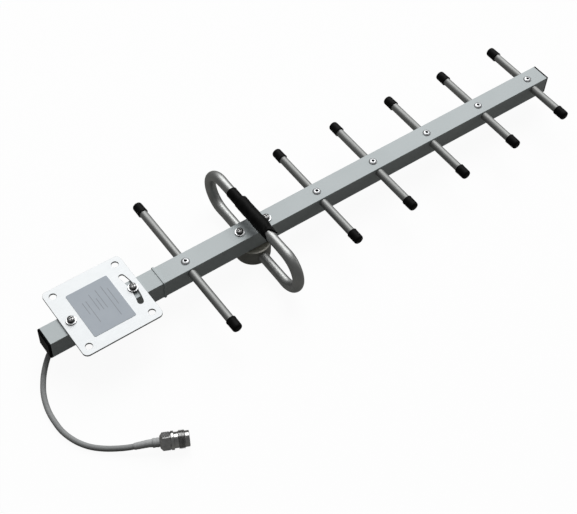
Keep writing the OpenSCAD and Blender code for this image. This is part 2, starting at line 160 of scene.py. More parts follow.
def paintSideShade(finish, tone, upright, level):
    # painted shade: the tone takes over where the vertical part of the face's normal falls from the level mark to
    # the upright one
    tree = finish.node_tree
    facing = upPart(tree, tree.nodes.new("ShaderNodeNewGeometry").outputs["Normal"])
    overTone(finish, reckon(tree, "ABSOLUTE", facing), (level, upright), tone)


def plainFinish(given):
    # tone from a broad noise, roughness and a bump of a real depth from a fine one, and painted shade on faces
    # turned from level where an edge tone is given
    f = {**usual, **given}
    finish = bpy.data.materials.new(f["name"])
    finish.use_nodes = True
    tree = finish.node_tree
    shader = setInputs(tree, tree.nodes["Principled BSDF"], {
        "Base Color": (*f["colour"], 1), "Metallic": f["metal"], "Roughness": f["rough"][0],
        "Specular IOR Level": f["specular"]})
    fine = grain(tree, f["fine"], f["fineDetail"], f["stretch"])
    broad = grain(tree, f["broad"], f["broadDetail"], f["stretch"])
    bump = addNode(tree, "ShaderNodeBump", {"Distance": f["bump"] * mm, "Height": fine})
    setInputs(tree, shader, {
        "Base Color": tint(tree, broad, f["toneSpan"], f["colour"], f["worn"]), "Normal": bump.outputs["Normal"],
        "Roughness": spreadOver(tree, fine, f["roughSpan"], f["rough"])})
    if "edge" in f:
        # painted shade on the faces that turn away from level
        paintSideShade(finish, *f["edge"])
    return finish


finishes = dict(
    boom=dict(name="satinGreyCoat", colour=(0.47, 0.52, 0.53), worn=(0.50, 0.55, 0.56), rough=(0.42, 0.55),
              broad=18, fine=2600, bump=0.01),
    rod=dict(name="drawnTube", colour=(0.26, 0.265, 0.26), worn=(0.30, 0.305, 0.30), metal=1.0,
             rough=(0.56, 0.64), broad=260, fine=1200, stretch=(1, 0.02, 1), bump=0.0015),
    loop=dict(name="bentTube", colour=(0.29, 0.295, 0.29), worn=(0.33, 0.335, 0.33), metal=1.0,
              rough=(0.42, 0.50), broad=90, fine=700, bump=0.0015),
    cap=dict(name="softCap", colour=[0.0045] * 3, worn=[0.008] * 3, rough=(0.45, 0.6), broad=160, fine=1800,
             bump=0.02, specular=0.06),
    plug=dict(name="mouldedPlug", colour=(0.0015, 0.0015, 0.002), worn=(0.003, 0.003, 0.0035),
              rough=(0.38, 0.5), broad=120, fine=2200, bump=0.015, specular=0.02),
    sleeve=dict(name="shrinkSleeve", colour=[0.0035] * 3, worn=[0.007] * 3, rough=(0.4, 0.6), broad=180,
                fine=1400, bump=0.03, specular=0.05),
    housing=dict(name="castHousing", colour=(0.19, 0.19, 0.165), worn=(0.25, 0.248, 0.225), metal=0.3,
                 rough=(0.35, 0.5), broad=140, fine=1500, bump=0.03),
    fill=dict(name="pottingResin", colour=(0.34, 0.33, 0.27), worn=(0.42, 0.41, 0.34), rough=(0.3, 0.5),
              broad=300, fine=1500, bump=0.03),
    plate=dict(name="brightSheet", colour=(0.90, 0.93, 0.945), worn=(0.92, 0.945, 0.96), metal=0.08,
               rough=(0.46, 0.56), broad=30, fine=3000, stretch=(0.05, 1, 1), bump=0.003,
               edge=((0.34, 0.35, 0.35), 0.75, 0.985)),  # painted shade on the edge faces of the sheet and its holes
    label=dict(name="blankFoil", colour=(0.385, 0.43, 0.48), worn=(0.405, 0.45, 0.50), rough=(0.5, 0.6),
               broad=60, fine=2500, bump=0.004),
    rule=dict(name="ruleInk", colour=(0.22, 0.24, 0.27), worn=(0.27, 0.29, 0.32), rough=(0.5, 0.6), broad=400,
              fine=2500, bump=0.003),
    steel=dict(name="stainless", colour=(0.52, 0.52, 0.51), worn=(0.60, 0.60, 0.59), metal=1.0,
               rough=(0.2, 0.32), bump=0.004),
    screw=dict(name="screwSteel", colour=[0.25] * 3, worn=[0.33] * 3, metal=1.0, rough=(0.24, 0.36), bump=0.004,
               edge=([0.012] * 3, 0.60, 0.85)),  # painted shade on the side of the head
    washer=dict(name="zincWasher", colour=(0.78, 0.79, 0.80), worn=(0.84, 0.85, 0.86), metal=0.45,
                rough=(0.3, 0.42), bump=0.003, edge=([0.03] * 3, 0.60, 0.97)),  # painted shade on the sheared side faces
    # near-black mandrel stub: partly the stub's own dark steel, partly painted shade for the deep mandrel hole
    stub=dict(name="mandrelStubAndHoleShade", colour=[0.012] * 3, worn=[0.025] * 3, rough=(0.5, 0.65), bump=0.006,
              specular=0.1),
    lock=dict(name="springSteel", colour=[0.06] * 3, worn=[0.10] * 3, metal=1.0, rough=(0.3, 0.45), bump=0.006),
    rivet=dict(name="rivetMetal", colour=(0.42, 0.43, 0.44), worn=(0.50, 0.51, 0.52), metal=1.0,
               rough=(0.28, 0.4), bump=0.006),
    cable=dict(name="cableJacket", colour=(0.31, 0.32, 0.32), worn=(0.35, 0.36, 0.36), rough=(0.5, 0.62),
               broad=60, fine=1800, bump=0.015, specular=0.15),
    tail=dict(name="shrinkGrey", colour=(0.43, 0.44, 0.44), worn=(0.47, 0.48, 0.48), rough=(0.45, 0.58),
              broad=120, fine=1500, bump=0.02, specular=0.2),
    boot=dict(name="bootRubber", colour=[0.006] * 3, worn=[0.010] * 3, rough=(0.5, 0.62), broad=160, fine=1800,
              bump=0.02, specular=0.12),
    insulator=dict(name="whiteInsulator", colour=(0.78, 0.76, 0.70), worn=(0.84, 0.82, 0.76), rough=(0.4, 0.5),
                   broad=200, fine=2000, bump=0.008),
    nickel=dict(name="nickelPlate", colour=(0.30, 0.30, 0.295), worn=(0.40, 0.40, 0.395), metal=1.0,
                rough=(0.17, 0.28), broad=300, fine=1500, bump=0.004),
    gold=dict(name="goldPlate", colour=(0.75, 0.56, 0.24), worn=(0.82, 0.64, 0.32), metal=1.0, rough=(0.2, 0.3),
              broad=400, fine=3000, bump=0.004),
)
made = {key: plainFinish(f) for key, f in finishes.items()}
slotFinish = dict(
    boom_grey="boom", element_metal="rod", loop_metal="loop", cap_black="cap", plug_black="plug",
    sleeve_black="sleeve", housing_grey="housing", plate_metal="plate", label_grey="label",
    fastener_steel="steel", lock_steel="lock", rivet_metal="rivet", cable_grey="cable",
    boot_black="boot", insulator_white="insulator", jack_nickel="nickel", contact_gold="gold",
)
slotOf = {}
for part in frame["record"]["subparts"]:
    slotOf[part["node"]] = part["material_slot"]
    nodes[part["node"]].data.materials[0] = made[slotFinish[part["material_slot"]]]
print("finishes made:", len(made))


# shape helpers, all in millimetres

touch = 1e-6  # lengths under this count as nothing


def gridQuads(rows, cols, wrapRows=False, wrapCols=True):  # corner numbers of each cell of a rows x cols grid
    r = np.arange(rows if wrapRows else rows - 1)[:, None]
    c = np.arange(cols if wrapCols else cols - 1)[None, :]
    nextRow = (r + 1) % rows
    nextCol = (c + 1) % cols
    corners = [r * cols + c, r * cols + nextCol, nextRow * cols + nextCol, nextRow * cols + c]
    return np.stack(corners, -1).reshape(-1, 4)


def unit(v):  # each vector over its length
    return v / np.linalg.norm(v, axis=-1, keepdims=True)


def roundAngles(count):  # even angles of one full turn
    return np.arange(count) * tau / count


def ray(angle):  # level unit vectors: cosine and sine of each angle
    return np.stack([np.cos(angle), np.sin(angle)], 1)


def heading(turn, slope=0):  # unit vector at a turn from +X about the vertical and a slope below level, in degrees
    turn, slope = np.radians(turn), np.radians(slope)
    return np.array([np.cos(slope) * np.cos(turn), np.cos(slope) * np.sin(turn), -np.sin(slope)])


def acrossAxis(axis, steep=0.9):
    # the unit axis and two unit vectors square to it, by cross products with the vertical, or +X for a steep axis
    axis = unit(np.asarray(axis, float))
    aside = np.array([0, 0, 1.0]) if abs(axis[2]) < steep else np.array([1.0, 0, 0])
    side = unit(np.cross(aside, axis))
    return axis, side, np.cross(axis, side)


def ease(t):  # 3t^2 - 2t^3 between 0 and 1
    t = np.clip(t, 0, 1)
    return t * t * (3 - 2 * t)


def softCorners(corners, radius, steps=4, most=0.49):
    # each inner corner becomes (1-t)^2 a + 2t(1-t) corner + t^2 b, with a and b a radius away along its sides,
    # or the most of a side that a corner may take
    p = np.asarray(corners, float)
    r = np.broadcast_to(np.asarray(radius, float), (len(p),))[1:-1, None]
    mid, before, after = p[1:-1], p[:-2] - p[1:-1], p[2:] - p[1:-1]
    a = mid + before * np.minimum(r / np.linalg.norm(before, axis=1, keepdims=True), most)
    b = mid + after * np.minimum(r / np.linalg.norm(after, axis=1, keepdims=True), most)
    t = np.linspace(0, 1, steps + 1)[None, :, None]
    curve = (1 - t) ** 2 * a[:, None] + 2 * t * (1 - t) * mid[:, None] + t ** 2 * b[:, None]
    return np.vstack([p[:1], curve.reshape(-1, 2), p[-1:]])


def turned(along, radius, steps, place, axis=(0, 0, 1), closed=False):
    # point = place + along * axis + radius * (cos a * side + sin a * other); radius may change with the angle,
    # and steps is a count or the angles themselves
    axis, side, other = acrossAxis(axis)
    angle = roundAngles(steps) if np.isscalar(steps) else np.asarray(steps)
    ring = np.cos(angle)[:, None] * side + np.sin(angle)[:, None] * other
    radius = np.asarray(radius, float)
    radius = radius if radius.ndim == 2 else np.repeat(radius[:, None], len(angle), 1)
    spine = np.asarray(place, float) + np.asarray(along, float)[:, None, None] * axis
    return (spine + radius[..., None] * ring).reshape(-1, 3), gridQuads(len(radius), len(angle), wrapRows=closed)


def turnedProfile(profile, radii, steps, place, axis=(0, 0, 1)):  # turned shape of a polyline with soft corners
    p = softCorners(profile, radii)
    return turned(p[:, 0], p[:, 1], steps, place, axis)


def joined(*shapes):  # several shapes as one list of points and faces
    points, faces, count = [], [], 0
    for p, f in shapes:
        points.append(p)
        faces += [[int(i) + count for i in face] for face in f]
        count += len(p)
    return np.vstack(points), faces


def addPiece(name, shape, finish, body="boom", stands=(), sharp=sharpFrom, normals=None):
    # the points and faces as a mesh; without normals of its own, doubles are merged and the faces turned outward
    points, faces = shape
    mesh = bpy.data.meshes.new(name)
    mesh.from_pydata((np.asarray(points) * mm).tolist(), [], [list(map(int, f)) for f in faces])
    if normals is None:
        work = bmesh.new()
        work.from_mesh(mesh)
        bmesh.ops.remove_doubles(work, verts=work.verts, dist=weld)
        bmesh.ops.dissolve_degenerate(work, dist=weld / 2, edges=work.edges)
        bmesh.ops.recalc_face_normals(work, faces=work.faces)
        work.to_mesh(mesh)
        work.free()
    mesh.polygons.foreach_set("use_smooth", np.ones(len(mesh.polygons), bool))
    if normals is None:
        mesh.set_sharp_from_angle(angle=np.radians(sharp))
    else:
        mesh.normals_split_custom_set_from_vertices(np.asarray(normals).tolist())
    mesh.materials.append(made[finish])
    piece = bpy.data.objects.new(name, mesh)
    scene.collection.objects.link(piece)
    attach(piece, body)
    if stands:
        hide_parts(*stands)
    return piece


def pieceFor(node, shape, body="boom", sharp=sharpFrom, normals=None, finish=None):  # stands for one node
    first, *rest = node.split("_")
    name = first + "".join(word.capitalize() for word in rest)
    return addPiece(name, shape, finish or slotFinish[slotOf[node]], body, [node], sharp, normals)


def nodeBox(node):  # lowest and highest corner in millimetres
    low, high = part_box(node)
    return np.array(low) / mm, np.array(high) / mm


def middle(node):  # middle of a node's box
    return np.mean(nodeBox(node), axis=0)


def smoothRoute(points, perSpan):
    # cubic through the points: each span is a Hermite curve, its end slopes half the chord across the neighbours
    p = np.asarray(points, float)
    ends = np.vstack([2 * p[0] - p[1], p, 2 * p[-1] - p[-2]])
    a, b, c, d = ends[:-3], ends[1:-2], ends[2:-1], ends[3:]
    t = (np.arange(perSpan) / perSpan)[None, :, None]
    slopeB, slopeC = (c - a)[:, None] / 2, (d - b)[:, None] / 2
    b, c = b[:, None], c[:, None]
    curve = ((2 * t ** 3 - 3 * t ** 2 + 1) * b + (t ** 3 - 2 * t ** 2 + t) * slopeB
             + (3 * t ** 2 - 2 * t ** 3) * c + (t ** 3 - t ** 2) * slopeC)
    return np.vstack([curve.reshape(-1, 3), p[-1:]])


def ringsAlong(path, radius, sides):
    # ring at each point of the path: point + radius * (cos a * side + sin a * up), side level and up square to both
    along = unit(np.gradient(path, axis=0))
    side = unit(np.cross([0, 0, 1.0], along))
    up = np.cross(along, side)
    angle = roundAngles(sides)[None, :, None]
    radius = np.broadcast_to(np.asarray(radius, float), (len(path),))[:, None, None]
    return path[:, None] + radius * (np.cos(angle) * side[:, None] + np.sin(angle) * up[:, None])


def tubeAlong(path, radius, sides):  # rings along the path, closed by a fan at each end
    rings = ringsAlong(path, radius, sides)
    points = np.vstack([rings.reshape(-1, 3), path[:1], path[-1:]])
    last = (len(path) - 1) * sides
    k = np.arange(sides)
    n = (k + 1) % sides
    first = np.stack([np.full(sides, last + sides), n, k], 1)
    end = np.stack([np.full(sides, last + sides + 1), last + k, last + n], 1)
    return points, gridQuads(len(path), sides).tolist() + first.tolist() + end.tolist()


def sleeveAlong(path, outer, inner, sides):  # outer rings forth and inner rings back, joined at both ends
    rings = np.vstack([ringsAlong(path, outer, sides), ringsAlong(path, inner, sides)[::-1]])
    return rings.reshape(-1, 3), gridQuads(2 * len(path), sides, wrapRows=True)


def threadRadius(along, angle, root, crest, pitch, flank=1.7, cut=0.25):
    # root + (crest - root) * a triangle of the phase along / pitch - angle / turn, steepened by flank and cut off
    phase = (along[:, None] / pitch - angle[None, :] / tau) % 1
    return root + (crest - root) * np.clip(flank * (1 - np.abs(2 * phase - 1)) - cut, 0, 1)


def hexRadius(angle, flats):  # half the width over flats, divided by the cosine of the angle from the nearest flat
    sixth = tau / 6
    return flats / 2 / np.cos((angle + sixth / 2) % sixth - sixth / 2)


# cable and its jack

cableRun = dict(
    bootRoot=(-276.1, 3.1, 18.3), bootSlope=38, bootTurn=20, bootLength=11, bootLead=5,
    jackFront=(-231, -137.3, 8), jackTurn=-26, tailLength=31.2, jackLead=4,
    diameter=5.0, sides=28, perSpan=10,
    floor=[(-293.3, -5.4, 4.8), (-299.3, -12.4, 3), (-304.3, -20.4, 2.5), (-308.3, -28.4, 2.5),
           (-311.3, -37.4, 2.5), (-313.3, -47.4, 2.5), (-313.8, -57.4, 2.5), (-313.3, -67.9, 2.5),
           (-310.8, -77.9, 2.5), (-306.8, -86.9, 2.5), (-300.8, -95.4, 2.5), (-292.8, -102.9, 2.7),
           (-284.3, -109.4, 3.8), (-275.3, -115.4, 5.6)],
)
cableRadius = cableRun["diameter"] / 2
bootAxis = -heading(cableRun["bootTurn"], -cableRun["bootSlope"])  # back and down from its root
bootRoot = np.array(cableRun["bootRoot"])
bootEnd = bootRoot + cableRun["bootLength"] * bootAxis
jackAxis = heading(cableRun["jackTurn"])
jackFront = np.array(cableRun["jackFront"], float)
crimpEnd = jackFront - cableRun["tailLength"] * jackAxis
route = np.vstack([bootEnd, bootEnd + cableRun["bootLead"] * bootAxis, cableRun["floor"],
                   crimpEnd - cableRun["jackLead"] * jackAxis, crimpEnd])
cablePath = smoothRoute(route, cableRun["perSpan"])
cablePath[:, 2] = np.maximum(cablePath[:, 2], cableRadius)  # it lies on the floor
cableSteps = np.linalg.norm(np.diff(cablePath, axis=0), axis=1)
cableLength = cableSteps.sum()
cable = addPiece("cableTail", tubeAlong(cablePath, cableRadius, cableRun["sides"]), "cable",
                 stands=["cable"])
print("cable length", round(cableLength, 1), "mm")

shrinkTail = dict(length=15.0, thin=2.7, thick=3.35, lip=1.2, lipShare=0.45, wave=0.05, waveRate=1.9, rows=40,
                  sides=36)


def shrinkTailShape(s):
    # sleeve round the last stretch of the cable: from thin to thick, one share eased over the lip and the rest
    # over the length, plus wave * sin(rate * distance)
    fromEnd = cableLength - np.concatenate([[0], np.cumsum(cableSteps)])
    want = np.linspace(s["length"], 0, s["rows"])
    path = np.stack([np.interp(-want, -fromEnd, cablePath[:, k]) for k in range(3)], 1)
    gone = s["length"] - want
    grown = s["lipShare"] * ease(gone / s["lip"]) + (1 - s["lipShare"]) * ease(gone / s["length"])
    outer = s["thin"] + (s["thick"] - s["thin"]) * grown + s["wave"] * np.sin(s["waveRate"] * gone)
    return sleeveAlong(path, outer, cableRadius, s["sides"])


tail = addPiece("shrinkTail", shrinkTailShape(shrinkTail), "tail")

feedCoax = dict(
    route=[(-271.5, 4.5, 21.4), (-266, 5.3, 23.3), (-260, 5.6, 24), (-180, 5.6, 24), (-98.5, 5.6, 24),
           (-93, 5.6, 23.4), (-88, 5.6, 21.7)],
    dropFrom=(-83.5, 5.6, 18.9), dropSlope=38, dropLength=14.5, perSpan=8, sides=24,
)


def feedCoaxShape(f):  # tube from the boot's end through the boom and down into the lower run
    dropFrom = np.array(f["dropFrom"])
    dropEnd = dropFrom + f["dropLength"] * heading(0, f["dropSlope"])
    path = smoothRoute(np.vstack([bootEnd, bootRoot, f["route"], dropFrom, dropEnd]), f["perSpan"])
    return tubeAlong(path, cableRadius, f["sides"])


pieceFor("feed_coax", feedCoaxShape(feedCoax))

boot = dict(inside=5.0, root=4.6, tip=3.5, bore=2.5, tipRound=0.3, grooves=(3.0, 5.2, 7.4), grooveDepth=0.35,
            grooveWidth=0.35, rows=90, sides=40)


def bootShape(b):
    # turned rubber: straight inside the wall, tapering outside it, less depth * exp(-(d / width)^2) at each groove
    length = cableRun["bootLength"]
    s = np.linspace(-b["inside"], length, b["rows"])
    grooves = np.exp(-((s[:, None] - np.array(b["grooves"])) / b["grooveWidth"]) ** 2).sum(1)
    radius = b["root"] + (b["tip"] - b["root"]) * ease(s / length) - b["grooveDepth"] * grooves
    radius[-1] -= b["tipRound"]
    along = np.concatenate([s, s[::-1]])
    radius = np.concatenate([radius, np.full(len(s), b["bore"])])
    return turned(along, radius, b["sides"], bootRoot, bootAxis, closed=True)


pieceFor("cable_boot", bootShape(boot))

jack = dict(
    nose=3.5, thread=6.0, groove=3.5, collar=3.0, hexLength=8.7, crimp=6.5, sides=72,
    noseRadius=6.8, collarRadius=8.0, hexCorner=8.0, crimpRadius=4.0, socketRadius=4.2, socketDepth=15.0,
    mouthRound=0.45, noseRound=0.6, grooveRound=0.5, collarRound=0.4, backRound=0.2, edgeCut=0.7, coneSlope=1.2,
    threadRoot=7.2, threadCrest=7.94, pitch=1.058, threadRows=64, threadClear=(0.02, 0.05), fadeIn=0.9, fadeOut=0.6,
    hexTurn=7.5, hexChamfer=2.4, edgeRows=(0, 0.3, 0.7), flatStart=1.0, flatRows=6, chamferStep=0.2, chamferRows=14,
    crimpRows=60, crimpWave=0.10, crimpWaves=2, crimpLead=1.0, crimpRound=0.6, crimpRoundLength=0.8,
)
jackBack = -jackAxis  # lengths run back from the jack's mouth
collarEnd = jack["nose"] + jack["thread"] + jack["groove"] + jack["collar"]
hexEnd = collarEnd + jack["hexLength"]


def jackBodyShape(j):
    # turned socket, nose, helical thread, groove and collar; the thread's height fades out at both of its ends
    angle = roundAngles(j["sides"])
    front = softCorners([(j["socketDepth"], 0), (j["socketDepth"], j["socketRadius"]), (0, j["socketRadius"]),
                         (0, j["noseRadius"]), (j["nose"], j["noseRadius"])],
                        [0, 0, j["mouthRound"], j["noseRound"], 0])
    start, stop = j["nose"], j["nose"] + j["thread"]
    s = np.linspace(start + j["threadClear"][0], stop, j["threadRows"])
    height = threadRadius(s, angle, j["threadRoot"], j["threadCrest"], j["pitch"]) - j["noseRadius"]
    fade = ease((s - start) / j["fadeIn"]) * ease((stop - s) / j["fadeOut"])
    collarStart = collarEnd - j["collar"]
    back = softCorners([(stop + j["threadClear"][1], j["noseRadius"]), (collarStart, j["noseRadius"]),
                        (collarStart, j["collarRadius"]), (collarEnd - j["edgeCut"], j["collarRadius"]),
                        (collarEnd, j["collarRadius"] - j["coneSlope"] * j["edgeCut"]), (collarEnd, 0)],
                       [0, j["grooveRound"], j["collarRound"], j["backRound"], 0, 0])
    along = np.concatenate([front[:, 0], s, back[:, 0]])
    plain = np.ones((1, j["sides"]))
    radius = np.vstack([front[:, 1:] * plain, j["noseRadius"] + height * fade[:, None], back[:, 1:] * plain])
    return turned(along, radius, angle, jackFront, jackBack)


def jackNutShape(j):
    # hexagon cut by a short cone at its front end and a long one at its rear: the smallest radius at each angle
    angle = roundAngles(j["sides"])
    flats = 2 * j["hexCorner"] * np.cos(tau / 12)
    flatEnd = j["hexLength"] - j["hexChamfer"]
    s = np.concatenate([j["edgeRows"], np.linspace(j["flatStart"], flatEnd, j["flatRows"]),
                        np.linspace(flatEnd + j["chamferStep"], j["hexLength"], j["chamferRows"])])
    cone = j["hexCorner"] - j["coneSlope"] * ((s - flatEnd).clip(0) + (j["edgeCut"] - s).clip(0))
    radius = np.minimum(hexRadius(angle + np.radians(j["hexTurn"]), flats)[None, :], cone[:, None])
    s = np.concatenate([s[:1], s, s[-1:]])
    radius = np.vstack([0 * radius[:1], radius, 0 * radius[:1]])
    return turned(collarEnd + s, radius, angle, jackFront, jackBack)


def crimpShape(j):
    # turned sleeve with two shallow cosine waves where it is pressed on, and a rounded end towards the cable
    length = j["crimp"]
    s = np.linspace(0, length, j["crimpRows"])
    wave = j["crimpWave"] * np.cos(tau * j["crimpWaves"] * s / length) * ease(s / j["crimpLead"])
    radius = j["crimpRadius"] - wave
    radius -= j["crimpRound"] * (1 - ease((length - s) / j["crimpRoundLength"])) ** 2
    along = hexEnd + np.concatenate([[0], s, [length]])
    return turned(along, np.concatenate([[0], radius, [0]]), j["sides"], jackFront, jackBack)


jackBody = pieceFor("jack_body", jackBodyShape(jack))
jackNut = pieceFor("jack_nut", jackNutShape(jack), sharp=22)
crimp = pieceFor("crimp_sleeve", crimpShape(jack), finish="tail")
print("cable and jack made")


# soft caps on the element ends

tipCap = dict(wall=1.6, bore=4.02, lip=0.14, lipLength=1.5, lipFall=0.4, taper=0.1, sides=44,
              rounds=(0, 0.3, 0.2, 0.4, 0.2, 0.2, 2.4, 0))  # one for each corner of the profile


def tipCapShape(node, c):
    # turned cup: bore and end wall inside, a low lip at the mouth, a slight taper and a rounded end outside
    low, high = nodeBox(node)
    outward = 1 if low[1] > 0 else -1
    length, r = high[1] - low[1], (high[0] - low[0]) / 2
    place = ((low[0] + high[0]) / 2, low[1] if outward > 0 else high[1], (low[2] + high[2]) / 2)
    floor, lipEnd, body = length - c["wall"], c["lipLength"], r - c["lip"]
    profile = [(floor, 0), (floor, c["bore"]), (0, c["bore"]), (0, r), (lipEnd, r), (lipEnd + c["lipFall"], body),
               (length, body - c["taper"]), (length, 0)]
    return turnedProfile(profile, c["rounds"], c["sides"], place, (0, outward, 0))


rods = ["reflector_rod"] + ["director_%d_rod" % k for k in range(1, 6)]
for rod in rods:
    for end in ("far", "near"):
        capNode = rod.replace("rod", end + "_cap")
        pieceFor(capNode, tipCapShape(capNode, tipCap))
print("tip caps made")


# blind rivets

rivet = dict(radius=4.1, height=1.7, brim=0.15, brimIn=0.05, bow=0.55, domeRows=12, edge=0.12, edgeIn=0.06,
             hole=1.55, floor=0.1, mouth=0.25, mouthDrop=0.2, mouthRise=0.02, mouthIn=0.1,
             shank=2.0, bulb=2.6, bulbTaper=0.3, wall=1.2, bulbLength=2.0, sides=48,
             stubTop=0.45, stubClear=0.05, dish=0.15, dishRadius=0.6, dishMiddle=0.2,
             stubRounds=(0, 0.1, 0.15, 0.3, 0))
boomTop = nodeBox("boom_tube")[1][2]


def rivetShape(x, r):
    # turned rivet: mandrel hole, low dome brim + rise(1 - (across / radius)^2)^bow, flange, shank and bulb below
    across = np.linspace(r["hole"] + r["mouth"], r["radius"] - r["brimIn"], r["domeRows"])
    rise = r["brim"] + (r["height"] - r["brim"]) * (1 - (across / r["radius"]) ** 2) ** r["bow"]
    bulbEnd = -r["wall"] - r["bulbLength"]
    profile = np.vstack([
        [(r["floor"], 0), (r["floor"], r["hole"]), (rise[0] - r["mouthDrop"], r["hole"]),
         (rise[0] - r["mouthRise"], r["hole"] + r["mouthIn"])],
        np.stack([rise, across], 1),
        [(r["edge"], r["radius"]), (0, r["radius"] - r["edgeIn"]), (0, r["shank"]), (-r["wall"], r["shank"]),
         (-r["wall"], r["bulb"]), (bulbEnd, r["bulb"] - r["bulbTaper"]), (bulbEnd, 0)],
    ])
    return turned(profile[:, 0], profile[:, 1], r["sides"], (x, 0, boomTop))


def rivetStubShape(x, r):
    # turned stub of the broken mandrel, a little narrower than its hole, its top dished
    rim, foot, top = r["hole"] - r["stubClear"], r["floor"] - r["stubClear"], r["stubTop"]
    profile = [(foot, 0), (foot, rim), (top, rim - r["stubClear"]), (top - r["dish"], r["dishRadius"]),
               (top - r["dishMiddle"], 0)]
    return turnedProfile(profile, r["stubRounds"], r["sides"], (x, 0, boomTop))


elementX = [middle(rod)[0] for rod in rods]
pieceFor("element_rivets", joined(*[rivetShape(x, rivet) for x in elementX]), sharp=50)
# near-black stubs: the stubs themselves, and painted shade at the bottom of the mandrel holes
addPiece("rivetStubs", joined(*[rivetStubShape(x, rivet) for x in elementX]), "stub")
print("rivets made")


# screws, bolts, washers and nuts

screwHead = dict(radius=3.3, height=2.0, room=2.8, crown=0.45, bow=3.2, rimRows=7, sideEdge=0.3, seatIn=0.25,
                 crossLength=3.8, crossWidth=1.15, crossDepth=1.5, crossSlope=0.45, crossClear=0.1, lip=0.07)
screwShank = dict(radius=2.0, pitch=0.7, threadDepth=0.45, rowsPerTurn=8, tip=0.6, tipTaper=0.2, screwThread=5.0,
                  overNut=5.0)


def panScrew(place, length, threadLength, h, k):
    # a square grid drawn out to a disc, its height h(1 - crown (r/rim)^bow) less a cross recess; then the side of
    # the head, the shank and a helical thread turned on the same angles
    rim, half, arm, lip, shank = h["radius"], h["crossWidth"] / 2, h["crossLength"] / 2, h["lip"], k["radius"]
    inner = arm + h["crossClear"]
    lines = np.concatenate([[0, half / 2, half - lip, half, (half + arm) / 2, arm - lip, arm],
                            np.linspace(inner, rim, h["rimRows"])])
    lines = np.concatenate([-lines[:0:-1], lines])
    x, y = np.meshgrid(lines, lines, indexing="ij")
    m = np.maximum(np.abs(x), np.abs(y))
    share = np.clip((m - inner) / (rim - inner), 0, 1)
    draw = 1 + share * (m / np.maximum(np.hypot(x, y), touch) - 1)
    u, v = x * draw, y * draw
    r = np.hypot(u, v)
    inArm = (np.abs(x) < half - lip / 2) & (np.abs(y) < arm - lip / 2)
    recess = (inArm | inArm.T) * h["crossDepth"] * (1 - h["crossSlope"] * r / arm)
    z = h["height"] * (1 - h["crown"] * (r / rim) ** h["bow"]) - recess
    axis, side, other = acrossAxis((0, 0, 1))
    top = np.asarray(place) + z[..., None] * axis + u[..., None] * side + v[..., None] * other
    angle = np.sort(np.arctan2(v, u)[m > rim - touch])
    threadTop = threadLength - length
    head = np.array([(h["height"] * (1 - h["crown"]), rim), (h["sideEdge"], rim), (0, rim - h["seatIn"]),
                     (0, shank), (threadTop, shank)])
    s = np.linspace(0, threadLength, max(int(threadLength / k["pitch"] * k["rowsPerTurn"]), 2))
    end = 1 - k["tipTaper"] * np.clip((s - threadLength + k["tip"]) / k["tip"], 0, 1)
    thread = threadRadius(s, angle, shank - k["threadDepth"], shank, k["pitch"]) * end[:, None]
    plain = np.ones((1, len(angle)))
    radius = np.vstack([head[:, 1:] * plain, thread, 0 * plain])
    along = np.concatenate([head[:, 0], threadTop - s, [-length]])
    return joined((top.reshape(-1, 3), gridQuads(len(lines), len(lines), wrapCols=False)),
                  turned(along, radius, angle, place))


flatRing = dict(outer=4.8, thick=1.0, play=0.15, edge=0.18, brow=1.6, steps=3, sides=56)
splitRing = dict(outer=3.4, thick=1.1, play=0.1, edge=0.12, brow=1, steps=2, rows=60, slit=1.0, slant=0.55,
                 screwTurn=4.0, boltTurn=4.4)


def ringSection(w):  # box section from the middle of the bore round and back, its upper outer corner softest
    thick, outer, edge, bore = w["thick"], w["outer"], w["edge"], screwShank["radius"] + w["play"]
    corners = [(thick / 2, bore), (thick, bore), (thick, outer), (0, outer), (0, bore), (thick / 2, bore)]
    return softCorners(corners, [0, edge, w["brow"] * edge, edge, edge, 0], w["steps"])[:-1]


def flatWasher(place, w):  # the section turned about the hole
    p = ringSection(w)
    return turned(p[:, 0], p[:, 1], w["sides"], place, closed=True)


def springWasher(place, turn, w):  # the section carried round the hole, all but a slanting slit
    p = ringSection(w)
    gap = w["slit"] / w["outer"]
    angle = turn + np.linspace(gap / 2, tau - gap / 2, w["rows"])
    a = angle[:, None] + w["slant"] * (p[:, 0] / w["thick"] - 0.5)[None, :] * gap
    points = np.stack([p[:, 1] * np.cos(a), p[:, 1] * np.sin(a), p[:, 0] + 0 * a], -1) + np.asarray(place)
    rows, cols = a.shape
    faces = gridQuads(rows, cols).tolist()
    faces += [list(range(cols)), list(range(rows * cols - 1, (rows - 1) * cols - 1, -1))]
    return points.reshape(-1, 3), faces


nut = dict(flats=7.0, thick=3.2, inset=0.35, threadDepth=0.3, boreRows=40, flare=0.5, flareLength=0.2, sides=72,
           chamfer=0.9, chamferStart=0.97, chamferSlope=1.5, chamferRows=8)


def hexNut(place, n):
    # hexagon cut by a cone at each end, and a threaded bore that widens by flare * exp(-d / length) at its mouths
    angle = roundAngles(n["sides"])
    thick, chamfer, bore = n["thick"], n["chamfer"], screwShank["radius"] - n["inset"]
    s = np.concatenate([np.linspace(0, chamfer, n["chamferRows"]),
                        np.linspace(thick - chamfer, thick, n["chamferRows"])])
    cone = n["flats"] / 2 * n["chamferStart"] + np.minimum(s, thick - s) * n["chamferSlope"]
    outer = np.minimum(hexRadius(angle, n["flats"])[None, :], cone[:, None])
    inside = np.linspace(thick, 0, n["boreRows"])
    mouth = n["flare"] * np.exp(-np.minimum(inside, thick - inside) / n["flareLength"])
    inner = threadRadius(inside, angle, bore, bore + n["threadDepth"], screwShank["pitch"]) + mouth[:, None]
    return turned(np.concatenate([s, inside]), np.vstack([outer, inner]), angle, place, closed=True)


